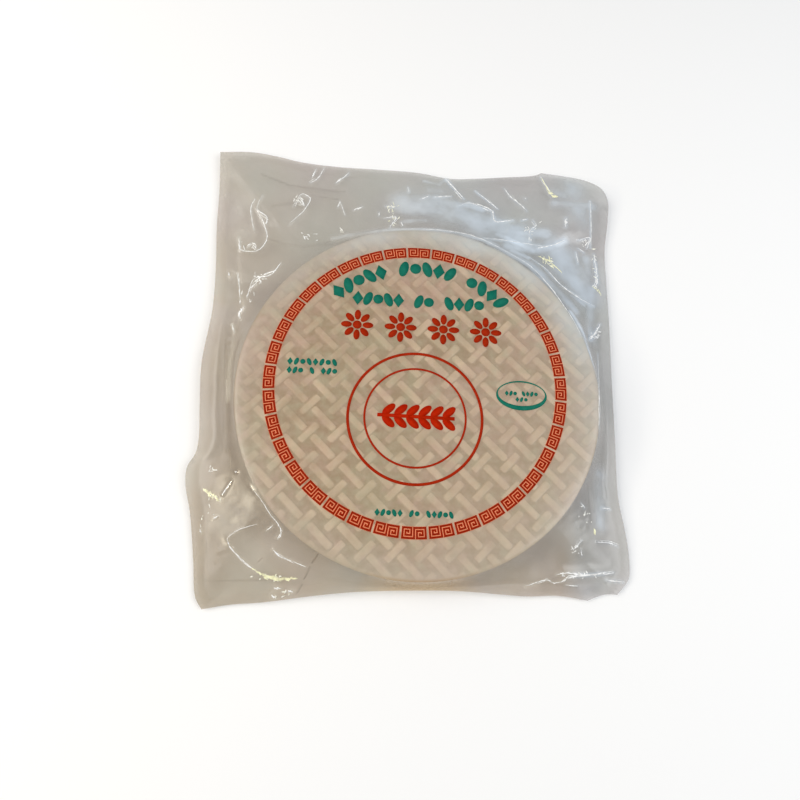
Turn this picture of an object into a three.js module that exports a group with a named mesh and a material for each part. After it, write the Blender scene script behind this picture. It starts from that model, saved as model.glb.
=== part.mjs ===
// A round stack of rice paper wrappers lying flat in a clear welded pouch, as one solid.
// Millimetres, +Z up. The pouch lies on its back and the stack sits nearer its front edge.
import * as THREE from 'three';
import { ParametricGeometry } from 'three/addons/geometries/ParametricGeometry.js';

// The stack inside the pouch.
const STACK_RADIUS = 110;
const STACK_HEIGHT = 18;
// The film lies this far over the top wrapper. It bends over the rim within this width, and
// has come down this far at the rim itself.
const FILM_GAP = 0.6;
const RIM_BEND = 2;
const RIM_DROP = 0.5;
// The weld that closes the pouch all round: its width and its thickness.
const WELD_WIDTH = 8;
const WELD_THICKNESS = 1.2;
// A narrow margin keeps this share of its width for the weld.
const WELD_SHARE = 0.35;
// The film falls from the rim to the margin within this distance, steeper at the rim.
const SLOPE_REACH = 46;
const SLOPE_BEND = 1.7;
// Air between the two films lifts the middle of a margin by this much.
const PUFF = 1.4;
// Under a margin the lower film leaves the table within this distance of the edge.
const LIFT_REACH = 18;
// The distance between two columns of the surface, measured along the edge.
const COLUMN_STEP = 8;

const FILM_TOP = STACK_HEIGHT + FILM_GAP;

// The pouch's edge as [x, y, height over the table] about the middle of the stack, going
// counter-clockwise from above. Each run is a smooth curve, and two runs meet in a corner.
const EDGE_RUNS = {
  rightSide: [
    [115.5, -117.6, 2.0], [123.6, -108.5, 1.8], [124.9, -95, 2.2], [123.6, -80, 3.2],
    [121.1, -62, 4.6], [122.4, -25, 6.0], [124.6, 14, 5.6], [127.4, 50, 4.2],
    [129.1, 82, 3.2], [130.6, 108, 3.0], [134.8, 131, 4.0], [135.7, 147, 5.5],
    [131.6, 155.5, 6.2], [121, 162.7, 4.8], [106, 166.9, 3.2], [90, 168, 4.2],
  ],
  backSide: [
    [90, 168, 4.2], [85, 166.6, 3.0], [64, 165.1, 1.8], [42, 163, 1.8],
    [24.5, 161.7, 2.4], [2, 165.2, 2.8], [-28, 167.3, 2.0], [-57, 168.5, 1.8],
    [-80, 170.9, 2.0], [-98, 174.6, 2.6], [-114, 176.6, 3.2], [-136, 175, 4.2],
  ],
  leftSide: [
    [-136, 175, 4.2], [-134.4, 145, 2.8], [-133.9, 118, 2.6], [-131.6, 85, 3.2],
    [-131, 56, 4.0], [-134.2, 20, 4.6], [-132.8, -8, 4.6], [-131.5, -29, 4.4],
    [-132.8, -37.5, 4.0], [-136.8, -45, 3.6], [-136.9, -55, 3.2], [-132.8, -72, 2.4],
    [-128.6, -98, 1.9], [-125.6, -118, 1.8], [-121.6, -124.4, 1.8],
  ],
  frontSide: [
    [-121.6, -124.4, 1.8], [-106, -122, 2.2], [-88, -120.8, 3.0], [-59, -117.3, 5.2],
    [-34, -115.2, 7.2], [-2, -114.6, 8.0], [22, -115, 7.2], [46, -117, 5.0],
    [62, -118.2, 3.6], [80, -118, 2.6], [97.6, -120.7, 2.2],
  ],
  frontNick: [
    [97.6, -120.7, 2.2], [104, -118.4, 1.9], [110, -117.2, 1.9], [115.5, -117.6, 2.0],
  ],
};

// Folds in the upper film: a line of points [x, y], its height and its half width.
const FOLDS = [
  { line: [[-121, 48], [-116, 0], [-108, -68]], height: 2.2, halfWidth: 4 },
  { line: [[-62, 98], [-92, 128], [-124, 166]], height: 2.4, halfWidth: 7 },
  { line: [[-30, 116], [-40, 140], [-52, 160]], height: 1.6, halfWidth: 6 },
  { line: [[24, 116], [28, 140], [40, 156]], height: 1.8, halfWidth: 6 },
  { line: [[46, 106], [84, 112], [112, 122]], height: 2.6, halfWidth: 6 },
  { line: [[98, 66], [112, 78], [124, 100]], height: 1.8, halfWidth: 5 },
  { line: [[113, 40], [115, 0], [116, -60]], height: 1.8, halfWidth: 3 },
  { line: [[84, -76], [100, -92], [114, -108]], height: 2.2, halfWidth: 6 },
  { line: [[54, -104], [82, -107], [112, -102]], height: 1.6, halfWidth: 4 },
  { line: [[-92, -68], [-106, -84], [-120, -112]], height: 2.4, halfWidth: 6 },
  { line: [[-104, -76], [-86, -100], [-62, -108]], height: 1.8, halfWidth: 4 },
];

// The pouch's edge, cut into columns a fixed step apart that also meet every corner. Each
// column runs from the middle of the stack out over the rim to its point on the edge.
function edgeColumns() {
  const columns = [];
  for (const run of Object.values(EDGE_RUNS)) {
    const points = run.map((p) => new THREE.Vector3(...p));
    const curve = new THREE.CatmullRomCurve3(points, false, 'centripetal');
    const steps = Math.max(1, Math.round(curve.getLength() / COLUMN_STEP));
    for (const point of curve.getSpacedPoints(steps).slice(0, steps)) {
      const distance = Math.hypot(point.x, point.y);
      const margin = distance - STACK_RADIUS;
      const weld = Math.min(WELD_WIDTH, margin * WELD_SHARE);
      const slope = margin - weld;
      columns.push({ dx: point.x / distance, dy: point.y / distance, height: point.z, margin, slope });
    }
  }
  return columns;
}

// How much the folds lift the upper film at a point.
function foldLift(x, y) {
  let lift = 0;
  for (const { line, height, halfWidth } of FOLDS) {
    for (let i = 1; i < line.length; i += 1) {
      const from = new THREE.Vector2(...line[i - 1]);
      const along = new THREE.Vector2(...line[i]).sub(from);
      const toPoint = new THREE.Vector2(x, y).sub(from);
      const share = THREE.MathUtils.clamp(toPoint.dot(along) / along.lengthSq(), 0, 1);
      const away = toPoint.addScaledVector(along, -share).length();
      lift = Math.max(lift, height * Math.exp(-((away / halfWidth) ** 2)));
    }
  }
  return lift;
}

// The upper film beyond the rim: a concave slope, the air in the margin and the folds, which
// fade out towards the rim and the weld and stay low where the margin is narrow.
function upperHeight(column, out, x, y) {
  const base = column.height + WELD_THICKNESS / 2;
  const fall = Math.max(0, 1 - out / Math.min(column.slope, SLOPE_REACH)) ** SLOPE_BEND;
  const arch = Math.sin(Math.PI * out / column.slope);
  const air = PUFF * arch * Math.min(1, column.slope / SLOPE_REACH);
  const fold = foldLift(x, y) * Math.sqrt(arch) * Math.min(1, column.slope / LIFT_REACH);
  return base + (FILM_TOP - base) * fall + air + fold * (1 - fall);
}

// The lower film lies on the table and lifts to the weld near the edge.
function lowerHeight(column, out) {
  const lift = Math.min(LIFT_REACH, column.margin);
  const fromEdge = column.margin - out;
  return (column.height - WELD_THICKNESS / 2) * Math.max(0, 1 - fromEdge / lift) ** 2;
}

// The stations of a column from the bottom centre out to the edge, over the rim and up to
// the top centre. Each gives its distance from the middle and its height.
const UNDER_SHARES = [0.35, 0.7];
const SLOPE_SHARES = [0.9, 0.78, 0.66, 0.54, 0.42, 0.3, 0.18, 0.08];
const STACK_TOP_SHARES = [0.9, 0.5, 0];
const STATIONS = [
  () => [0, () => 0],
  () => [STACK_RADIUS / 2, () => 0],
  () => [STACK_RADIUS, () => 0],
  ...UNDER_SHARES.map((share) => (c) => {
    const out = share * c.slope;
    return [STACK_RADIUS + out, () => lowerHeight(c, out)];
  }),
  (c) => [STACK_RADIUS + c.slope, () => lowerHeight(c, c.slope)],
  (c) => [STACK_RADIUS + c.margin, () => c.height - WELD_THICKNESS / 2],
  (c) => [STACK_RADIUS + c.margin, () => c.height + WELD_THICKNESS / 2],
  (c) => [STACK_RADIUS + c.slope, () => c.height + WELD_THICKNESS / 2],
  ...SLOPE_SHARES.map((share) => (c) => {
    const out = share * c.slope;
    return [STACK_RADIUS + out, (x, y) => upperHeight(c, out, x, y)];
  }),
  () => [STACK_RADIUS, () => FILM_TOP - RIM_DROP],
  () => [STACK_RADIUS - RIM_BEND, () => FILM_TOP],
  ...STACK_TOP_SHARES.map((share) => () => [share * STACK_RADIUS, () => FILM_TOP]),
];

// The pouch as one closed surface: u goes round the edge, v from the bottom centre to the
// top centre.
function pouchGeometry() {
  const columns = edgeColumns();
  const surface = (u, v, target) => {
    const column = columns[Math.round(u * columns.length) % columns.length];
    const station = STATIONS[Math.round(v * (STATIONS.length - 1))];
    const [radius, heightAt] = station(column);
    const x = column.dx * radius;
    const y = column.dy * radius;
    target.set(x, y, heightAt(x, y));
  };
  return new ParametricGeometry(surface, columns.length, STATIONS.length - 1);
}

const clearFilm = new THREE.MeshStandardMaterial({ color: 0xb9b4aa, roughness: 0.2, metalness: 0 });

const geometry = pouchGeometry();
geometry.computeBoundingBox();
const middle = geometry.boundingBox.getCenter(new THREE.Vector3());
const sealedBag = new THREE.Mesh(geometry, clearFilm);
sealedBag.name = 'sealed_bag';
sealedBag.position.set(-middle.x, -middle.y, 0);

const wrapperStack = new THREE.Group();
wrapperStack.add(sealedBag);

export default wrapperStack;
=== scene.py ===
# %% [markdown]
# # A stack of rice paper wrappers in a clear pouch
# Round dried wrappers, embossed with the weave of the mats they dried on, are stacked in a flat
# pouch of clear film that is welded all round and printed in red and teal. The pack lies on its
# back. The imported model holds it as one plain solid, and this scene replaces that solid with
# thin film, separate wrappers and print. Lengths are worked out in millimetres and turned into
# metres when a mesh is written.

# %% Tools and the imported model
import math
import bpy
import numpy as np
from mathutils import Matrix, Vector


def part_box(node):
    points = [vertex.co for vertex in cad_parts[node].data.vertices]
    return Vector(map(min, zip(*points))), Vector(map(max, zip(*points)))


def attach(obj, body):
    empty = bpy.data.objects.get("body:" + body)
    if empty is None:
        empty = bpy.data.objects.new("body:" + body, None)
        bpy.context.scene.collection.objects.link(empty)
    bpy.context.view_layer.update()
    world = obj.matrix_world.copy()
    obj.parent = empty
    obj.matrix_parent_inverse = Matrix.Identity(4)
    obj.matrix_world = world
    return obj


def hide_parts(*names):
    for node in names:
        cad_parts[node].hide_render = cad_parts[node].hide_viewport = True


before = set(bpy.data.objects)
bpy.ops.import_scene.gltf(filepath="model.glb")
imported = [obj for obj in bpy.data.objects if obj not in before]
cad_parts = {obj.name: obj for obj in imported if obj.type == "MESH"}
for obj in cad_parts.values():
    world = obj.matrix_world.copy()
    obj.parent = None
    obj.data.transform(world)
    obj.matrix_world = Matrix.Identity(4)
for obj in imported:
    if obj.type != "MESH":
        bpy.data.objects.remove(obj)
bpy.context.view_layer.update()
MM = 0.001
pouch_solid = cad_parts["sealed_bag"]
low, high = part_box("sealed_bag")
print("pouch solid, mm:", [round(v / MM, 1) for v in high - low])

# %% [markdown]
# ## Small helpers
# Operators act on everything that is selected, so each step starts by selecting exactly what it
# means. A mesh's points are read into an array in millimetres, moved by arithmetic and written
# back, which keeps every formula short.

# %% Helpers for selecting, reading and writing
MERGE = (bpy.ops.mesh.remove_doubles, {"threshold": 1e-6})
FACE_OUT = (bpy.ops.mesh.normals_make_consistent, {"inside": False})
FLIP = (bpy.ops.mesh.flip_normals, {})
UNSELECT = (bpy.ops.mesh.select_all, {"action": "DESELECT"})


def select_only(*objects):
    bpy.ops.object.select_all(action="DESELECT")
    for item in objects:
        item.select_set(True)
    bpy.context.view_layer.objects.active = objects[0]


def added(name):
    """The primitive that an operator has just added, under a name of its own."""
    piece = bpy.context.object
    piece.name = name
    piece.data.name = name
    return piece


def add_grid(name, across, down):
    """A flat grid from -1 to 1 mm, to be wrapped onto a shape."""
    bpy.ops.mesh.primitive_grid_add(x_subdivisions=across, y_subdivisions=down, size=2 * MM)
    return added(name)


def joined(name, pieces):
    select_only(*pieces)
    bpy.ops.object.join()
    return added(name)


def apply_place(piece):
    select_only(piece)
    bpy.ops.object.transform_apply(location=True, rotation=True, scale=True)


def in_edit_mode(piece, *steps):
    """Runs mesh operators on all of a piece."""
    select_only(piece)
    bpy.ops.object.mode_set(mode="EDIT")
    bpy.ops.mesh.select_all(action="SELECT")
    for operator, options in steps:
        operator(**options)
    bpy.ops.object.mode_set(mode="OBJECT")


def read_points(piece):
    points = np.empty(len(piece.data.vertices) * 3)
    piece.data.vertices.foreach_get("co", points)
    return points.reshape(-1, 3) / MM


def write_points(piece, points):
    piece.data.vertices.foreach_set("co", (np.asarray(points) * MM).ravel())
    piece.data.update()


def place_points(piece, x, y, z=0.0):
    write_points(piece, np.stack(np.broadcast_arrays(x, y, z), 1))


def store(piece, name, values):
    """Keeps one number for each point, for the material to read."""
    layer = piece.data.attributes.new(name, "FLOAT", "POINT")
    layer.data.foreach_set("value", np.asarray(values, dtype=np.float32))


def turned(x, y, degrees, middle=(0, 0)):
    """A place turned about the origin and then moved as far as a middle is from it."""
    lean = math.radians(degrees)
    return (middle[0] + x * math.cos(lean) - y * math.sin(lean),
            middle[1] + x * math.sin(lean) + y * math.cos(lean))


def finish_piece(piece, material):
    """Applies a piece's place, gives it its finish and hangs it on the pack."""
    apply_place(piece)
    bpy.ops.object.shade_smooth()
    piece.data.materials.clear()
    piece.data.materials.append(material)
    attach(piece, "root")
    print(piece.name, "has", sum(len(f.vertices) - 2 for f in piece.data.polygons), "triangles")


# %% [markdown]
# ## The camera
# The pack is seen from just in front of it and almost straight above. The camera is placed by
# what it looks at, how far it leans from the vertical, which way it faces and how far it rolls,
# in that order, so each number can be read as a plain direction.

# %% Camera
STACK_MIDDLE = np.array([0.6, -26.0])
VIEW_TARGET = Vector((-11.4, -32.2, 18.0)) * MM
VIEW_DISTANCE = 343 * MM
VIEW_LEAN = math.radians(16.5)
VIEW_HEADING = math.radians(-11.8)
VIEW_ROLL = math.radians(12.25)
PICTURE = 800
FOCAL_PIXELS = 575

turn = (Matrix.Rotation(VIEW_HEADING, 4, "Z") @ Matrix.Rotation(VIEW_LEAN, 4, "X")
        @ Matrix.Rotation(VIEW_ROLL, 4, "Z"))
eye = VIEW_TARGET + turn @ Vector((0, 0, VIEW_DISTANCE))
bpy.ops.object.camera_add(location=eye, rotation=turn.to_euler())
camera = bpy.context.object
camera.data.sensor_width = 36
camera.data.lens = camera.data.sensor_width * FOCAL_PIXELS / PICTURE
camera.data.clip_start = 0.01
bpy.context.scene.camera = camera


def seen_on(surface, across, down):
    """The point of a surface that the camera sees at a place in its 800 x 800 picture, in mm."""
    half = PICTURE / 2
    ray = turn.to_3x3() @ Vector((across - half, half - down, -FOCAL_PIXELS)).normalized()
    hit, place, _, _ = surface.ray_cast(eye, ray)
    if not hit:
        place = eye + ray * (-eye.z / ray.z)
    return np.array(place) / MM


print("eye, mm:", [round(v / MM, 1) for v in eye])

# %% [markdown]
# ## Floor and light
# A pale floor, a pale sky and a large lamp on either side light everything softly. Some sparkle
# on clear film comes from a small bright lamp at the left, because each crease mirrors it for a
# moment. It stands where the flat film over the stack doesn't mirror it into the camera. Most of
# the sparkle is painted highlight on thin raised strips along the creases.

# %% Floor, sky and lamps
def area_lamp(name, place, size, power, colour):
    bpy.ops.object.light_add(type="AREA", location=place)
    lamp = bpy.context.object
    lamp.name = name
    lamp.data.size = size
    lamp.data.energy = power
    lamp.data.color = colour
    lamp.rotation_euler = (-Vector(place)).to_track_quat("-Z", "Y").to_euler()


area_lamp("soft_left", (-0.9, 0.15, 0.9), size=0.8, power=8.7, colour=(1.0, 0.955, 0.895))
area_lamp("soft_right", (0.9, -0.15, 0.9), size=0.8, power=7.7, colour=(0.955, 0.98, 1.0))
area_lamp("warm_spark", (-1.0, -0.3, 0.5), size=0.15, power=2.2, colour=(1.0, 0.9, 0.7))

sky = bpy.data.worlds.new("pale_sky")
sky.use_nodes = True
sky_light = sky.node_tree.nodes["Background"]
sky_light.inputs["Color"].default_value = (0.95, 0.97, 1.0, 1)
sky_light.inputs["Strength"].default_value = 0.38
bpy.context.scene.world = sky
bpy.context.scene.view_settings.view_transform = "Standard"

FLOOR_SIZE = 6
FLOOR_BELOW = 0.0003
bpy.ops.mesh.primitive_plane_add(size=FLOOR_SIZE, location=(0, 0, -FLOOR_BELOW))
floor = added("floor")
floor_finish = bpy.data.materials.new("pale_floor")
floor_finish.use_nodes = True
floor_shader = floor_finish.node_tree.nodes["Principled BSDF"]
floor_shader.inputs["Base Color"].default_value = (0.95, 0.95, 0.95, 1)
floor_shader.inputs["Roughness"].default_value = 0.8
floor.data.materials.append(floor_finish)

# %% [markdown]
# ## Building finishes from nodes
# Every finish here is a small chain of nodes. This class keeps the chain readable: it adds a
# node, sets its sockets by name and links whatever is itself a socket. A colour is written as
# its red, green and blue.

# %% A small node builder
class Finish:
    def __init__(self, name):
        self.material = bpy.data.materials.new(name)
        self.material.use_nodes = True
        self.tree = self.material.node_tree
        self.tree.nodes.clear()

    def node(self, kind, sockets=None, **settings):
        made = self.tree.nodes.new("ShaderNode" + kind)
        for key, value in settings.items():
            setattr(made, key, value)
        for key, value in (sockets or {}).items():
            if isinstance(value, bpy.types.NodeSocket):
                self.tree.links.new(value, made.inputs[key])
            else:
                made.inputs[key].default_value = (*value, 1) if isinstance(value, tuple) else value
        return made

    def noise(self, scale, detail=2.0, roughness=0.5):
        place = self.node("TexCoord").outputs["Object"]
        sockets = {"Vector": place, "Scale": scale, "Detail": detail, "Roughness": roughness}
        return self.node("TexNoise", sockets).outputs["Fac"]

    def attribute(self, name):
        return self.node("Attribute", attribute_name=name).outputs["Fac"]

    def math(self, operation, first, second, clamp=False):
        sockets = {0: first, 1: second}
        return self.node("Math", sockets, operation=operation, use_clamp=clamp).outputs[0]

    def plus(self, first, second, clamp=False):
        return self.math("ADD", first, second, clamp)

    def times(self, first, second, clamp=False):
        return self.math("MULTIPLY", first, second, clamp)

    def spread(self, value, low_in, high_in, low_out, high_out):
        sockets = {"Value": value, "From Min": low_in, "From Max": high_in,
                   "To Min": low_out, "To Max": high_out}
        return self.node("MapRange", sockets).outputs["Result"]

    def blend(self, share, first, second):
        """The first colour where the share is 0 and the second where it is 1."""
        return self.node("Mix", {0: share, 6: first, 7: second}, data_type="RGBA").outputs[2]

    def bump(self, height, strength, distance):
        sockets = {"Height": height, "Strength": strength, "Distance": distance}
        return self.node("Bump", sockets).outputs["Normal"]

    def body(self, colour, roughness, specular=0.5, **more):
        sockets = {"Base Color": colour, "Roughness": roughness, "Specular IOR Level": specular}
        return self.node("BsdfPrincipled", {**sockets, **more}).outputs[0]

    def clear(self, colour=(1, 1, 1)):
        return self.node("BsdfTransparent", {"Color": colour}).outputs[0]

    def mix_shaders(self, share, first, second):
        return self.node("MixShader", {0: share, 1: first, 2: second}).outputs[0]

    def done(self, shader):
        self.node("OutputMaterial", {"Surface": shader})
        return self.material


# %% [markdown]
# ## The mat weave
# The wrappers dry on woven mats and keep the print of their strips. One repeat of the weave is a
# square cell that holds a long strip leaning one way and, half a cell on, a shorter strip leaning
# the other way. Folding any point into one cell turns the whole weave into two rounded bars.

# %% Weave relief
WEAVE_CELL = 16.8
STRIP_WIDTH = 4.55
END_ROUND = 3.5
CROWN = 1.9
LONG_STRIP = {"middle": (10.4, 15.4), "length": 18.4, "lean": -46}
SHORT_STRIP = {"middle": (2.1, 7.1), "length": 14.6, "lean": 45}


def strip_relief(x, y, strip):
    """0 beside a strip and 1 along its crown, with round ends, repeated over the mat."""
    reach = strip["length"] / 2 - STRIP_WIDTH / 2
    relief = np.zeros_like(x)
    for shift_x in (-WEAVE_CELL, 0, WEAVE_CELL):
        for shift_y in (-WEAVE_CELL, 0, WEAVE_CELL):
            to_x = (x - strip["middle"][0]) % WEAVE_CELL - shift_x
            to_y = (y - strip["middle"][1]) % WEAVE_CELL - shift_y
            along, aside = turned(to_x, to_y, -strip["lean"])
            past_end = np.maximum(np.abs(along) - reach, 0)
            away = (past_end ** END_ROUND + np.abs(aside) ** END_ROUND) ** (1 / END_ROUND)
            away = away / (STRIP_WIDTH / 2)
            relief = np.maximum(relief, np.clip(CROWN - CROWN * away ** 4, 0, 1))
    return relief


def weave_relief(x, y):
    return np.maximum(strip_relief(x, y, LONG_STRIP), 0.92 * strip_relief(x, y, SHORT_STRIP))


# %% [markdown]
# ## Slow unevenness
# Nothing dried or wrapped by hand is quite flat. A few long waves with seeded directions add up
# to an uneven surface that comes out the same on every run.

# %% Seeded waves
def slow_waves(x, y, seed, wavelength, count=9):
    """A smooth uneven surface of about -1 to 1 whose hills are about a wavelength apart."""
    random = np.random.default_rng(seed)
    total = np.zeros_like(x)
    for _ in range(count):
        heading = random.uniform(0, 2 * math.pi)
        phase = random.uniform(0, 2 * math.pi)
        wave = 2 * math.pi / (wavelength * random.uniform(0.7, 1.5))
        total += np.sin(wave * (x * math.cos(heading) + y * math.sin(heading)) + phase)
    return total / math.sqrt(count * 2)


def warm_to_cool(x, y):
    """0 at the left and the front and 1 at the back right: the share of painted cool light tint."""
    return np.clip(0.5 + x / 230 + np.where(y > 0, y / 450, y / 140), 0, 1)


# %% [markdown]
# ## The top and bottom wrappers
# The wrappers at the two ends of the stack show their whole face, so their relief is real mesh.
# A square grid turned to lie along the strips gives them clean edges; the grid is cut to a disc
# by deleting what lies outside and drawing the new border onto the circle. The border is then
# pulled down, as a dried wrapper's edge curls onto the next one.

# %% Wrapper faces
STACK_RADIUS = 110.0
STACK_HEIGHT = 18.0
RELIEF_HEIGHT = 0.45
UNEVEN_HEIGHT = 0.06
RIM_CURL = 0.35
RIM_CURL_WIDTH = 3.0
WEAVE_MARGIN = 8.0
WEAVE_MARGIN_FRONT = 3.5


def flat_disc(name, spacing):
    """A disc with its grid along the strips, and its points."""
    cuts = int(2 * STACK_RADIUS / spacing)
    bpy.ops.mesh.primitive_grid_add(x_subdivisions=cuts, y_subdivisions=cuts,
                                    size=2 * (STACK_RADIUS + 1) * MM,
                                    rotation=(0, 0, math.radians(LONG_STRIP["lean"])))
    disc = added(name)
    apply_place(disc)
    points = read_points(disc)
    outside = np.hypot(points[:, 0], points[:, 1]) > STACK_RADIUS - spacing * 0.45
    in_edit_mode(disc, UNSELECT)
    disc.data.vertices.foreach_set("select", outside)
    bpy.ops.object.mode_set(mode="EDIT")
    bpy.ops.mesh.delete(type="VERT")
    bpy.ops.mesh.select_all(action="SELECT")
    bpy.ops.mesh.region_to_loop()
    bpy.ops.object.mode_set(mode="OBJECT")
    points = read_points(disc)
    border = np.zeros(len(points), dtype=bool)
    disc.data.vertices.foreach_get("select", border)
    radius = np.hypot(points[:, 0], points[:, 1])
    points[border, :2] *= (STACK_RADIUS / radius[border])[:, None]
    return disc, points


def wrapper_face(name, spacing, face_height, up):
    """A woven disc at face_height; up is 1 for the top of the stack and -1 for its underside."""
    face, points = flat_disc(name, spacing)
    x, y = points[:, 0], points[:, 1]
    radius = np.hypot(x, y)
    weave = weave_relief(x, y) * np.clip(0.8 + 0.24 * slow_waves(x, y, 3, 16), 0.3, 1.05)
    to_front = np.clip(0.5 - y / 150 + x / 300, 0, 1)
    woven_within = WEAVE_MARGIN + (WEAVE_MARGIN_FRONT - WEAVE_MARGIN) * to_front
    woven = np.clip((STACK_RADIUS - radius) / woven_within, 0.1, 1)
    weave = weave * woven + 0.7 * (1 - woven)
    rise = RELIEF_HEIGHT * (weave - 1) + UNEVEN_HEIGHT * slow_waves(x, y, 5, 40)
    curl = RIM_CURL * np.clip((radius - STACK_RADIUS + RIM_CURL_WIDTH) / RIM_CURL_WIDTH, 0, 1) ** 2
    points[:, 2] = face_height + up * (rise - curl)
    # This also moves x and y, so what is stored below goes by the place in the pouch.
    points[:, :2] += STACK_MIDDLE
    write_points(face, points)
    # Painted shade: the weave value is lowered near the rim at the left and the front right.
    shaded_side = np.clip(0.2 - x / 110, 0, 1) + 0.8 * np.clip(x / 110, 0, 1) * np.clip(-y / 60, 0, 1)
    store(face, "weave", weave - 0.3 * np.clip((radius - 103) / 6, 0, 1) * shaded_side)
    store(face, "crisp", np.clip(0.7 + x / 330 - y / 300 + 0.22 * slow_waves(x, y, 8, 30), 0.3, 1))
    store(face, "olive", 0.33 * np.clip((x - y) / 140, 0, 1))
    # Painted light tint: warm at the left and front, cool at the back right.
    store(face, "cool", warm_to_cool(x, y))
    # A pale band near the rim, the paper's plain edge, made paler still toward the back right as painted
    # sheen.
    pale_band = 0.75 * np.clip((radius - 90) / 15, 0, 1) + 0.25 * np.clip((radius - 70) / 30, 0, 1)
    store(face, "rim", pale_band * np.clip(0.45 + x / 400 + y / 170, 0.32, 1))
    if up < 0:
        in_edit_mode(face, FLIP)
    return face


top_wrapper = wrapper_face("top_wrapper", 0.63, STACK_HEIGHT + 0.33, 1)
bottom_wrapper = wrapper_face("bottom_wrapper", 1.2, 0.35, -1)

# %% [markdown]
# ## The wrappers between them
# From the side a stack shows the thin edge of each wrapper, none of them quite round or quite
# level. One thin disc is modelled for each, with its edge moved in and out and up and down by
# seeded waves, and they are joined into one piece.

# %% Wrapper edges
WRAPPER_COUNT = 36
WRAPPER_PITCH = (STACK_HEIGHT - 1.5) / WRAPPER_COUNT
WRAPPER_THICKNESS = 0.34
EDGE_STEPS = 180


def middle_wrapper(index):
    bpy.ops.mesh.primitive_cylinder_add(vertices=EDGE_STEPS, radius=STACK_RADIUS * MM,
                                        depth=WRAPPER_THICKNESS * MM, end_fill_type="TRIFAN")
    disc = added(f"wrapper_{index:02d}")
    points = read_points(disc)
    random = np.random.default_rng(100 + index)
    angle = np.arctan2(points[:, 1], points[:, 0])
    edge = np.hypot(points[:, 0], points[:, 1]) > STACK_RADIUS / 2
    inset = random.uniform(0.2, 1.3)
    for waves in (2, 3, 5):
        inset = inset + random.uniform(0.05, 0.28) * np.sin(waves * angle + random.uniform(0, 6.28))
    level = 0.05 * np.sin(random.integers(17, 29) * angle + random.uniform(0, 6.28))
    level = level + 0.05 * np.sin(random.integers(4, 9) * angle + random.uniform(0, 6.28))
    points[:, :2] *= np.where(edge, 1 - np.maximum(inset, 0) / STACK_RADIUS, 1)[:, None]
    points[:, :2] += STACK_MIDDLE + random.normal(0, 0.18, 2)
    points[:, 2] += 0.5 + (index + 0.5) * WRAPPER_PITCH + level * edge
    write_points(disc, points)
    return disc


wrapper_edges = joined("wrapper_edges", [middle_wrapper(i) for i in range(WRAPPER_COUNT)])
from_middle = read_points(wrapper_edges)[:, 1] - STACK_MIDDLE[1]
store(wrapper_edges, "weave", np.full(len(from_middle), 0.7))
store(wrapper_edges, "crisp", np.ones(len(from_middle)))
# Painted sheen and shade: the edges are paler toward the back and darker toward the front.
store(wrapper_edges, "rim", np.clip(0.7 + from_middle / 160, 0.25, 1))

# %% [markdown]
# ## The wrappers' finish
# Dried rice paper is a warm off-white, paler where the relief is thick and along the rim, and
# darker in the hollows, partly from the mat's print and partly as painted shade. The rim is paler
# still at the back right as a painted sheen, with a painted warm and cool light tint, and darker
# at the left and front right as painted shade. There are cloudy pink and green patches, small
# flecks and a fine grain. The noises give the patches, and what was stored on each point gives
# the weave and the rim.

# %% Rice paper
def rice_paper():
    f = Finish("rice_paper")
    cloud = f.noise(34, 3, 0.55)
    grain = f.noise(900, 3, 0.6)
    fleck = f.noise(260, 2, 0.5)
    weave = f.times(f.spread(f.attribute("weave"), 0.0, 0.9, 0.0, 1.0), f.attribute("crisp"))
    # Bars paler and hollows darker: partly the mat's print, partly painted shade in the hollows.
    colour = f.blend(weave, (0.352, 0.243, 0.141), (0.66, 0.492, 0.328))
    tint = f.noise(26, 2, 0.5)
    colour = f.blend(f.spread(tint, 0.5, 0.68, 0.0, 0.4), colour, (0.53, 0.345, 0.26))
    colour = f.blend(f.spread(tint, 0.5, 0.32, 0.0, 0.4), colour, (0.40, 0.345, 0.21))
    patch = f.noise(120, 2, 0.5)
    colour = f.blend(f.spread(patch, 0.52, 0.7, 0.0, 0.45), colour, (0.52, 0.335, 0.255))
    colour = f.blend(f.spread(patch, 0.48, 0.3, 0.0, 0.4), colour, (0.46, 0.42, 0.27))
    colour = f.blend(f.attribute("olive"), colour, (0.43, 0.375, 0.26))
    # The pale rim, with painted sheen at the back right, takes a painted warm and cool light tint.
    pale = f.times(f.attribute("rim"), f.spread(cloud, 0.3, 0.7, 0.55, 0.95), clamp=True)
    pale_rim_and_sheen_colour = f.blend(f.attribute("cool"), (0.57, 0.525, 0.47), (0.60, 0.66, 0.67))
    colour = f.blend(pale, colour, pale_rim_and_sheen_colour)
    colour = f.blend(f.spread(fleck, 0.4, 0.75, 0.0, 0.14), colour, (0.8, 0.7, 0.55))
    normal = f.bump(f.plus(f.times(grain, 0.5), fleck), 0.22, 0.0002)
    return f.done(f.body(colour, 0.5, 0.35, Normal=normal))


paper = rice_paper()
for wrapper in (top_wrapper, bottom_wrapper, wrapper_edges):
    finish_piece(wrapper, paper)

# %% [markdown]
# ## The pouch's edge
# The edge is a wavy, slightly crumpled rectangle with one sharp corner, one rounded one, a point
# and a nick. It is given by the few places where it turns, in millimetres about the middle of
# the stack, each with its height over the table. A smooth curve runs through each stretch.

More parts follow.
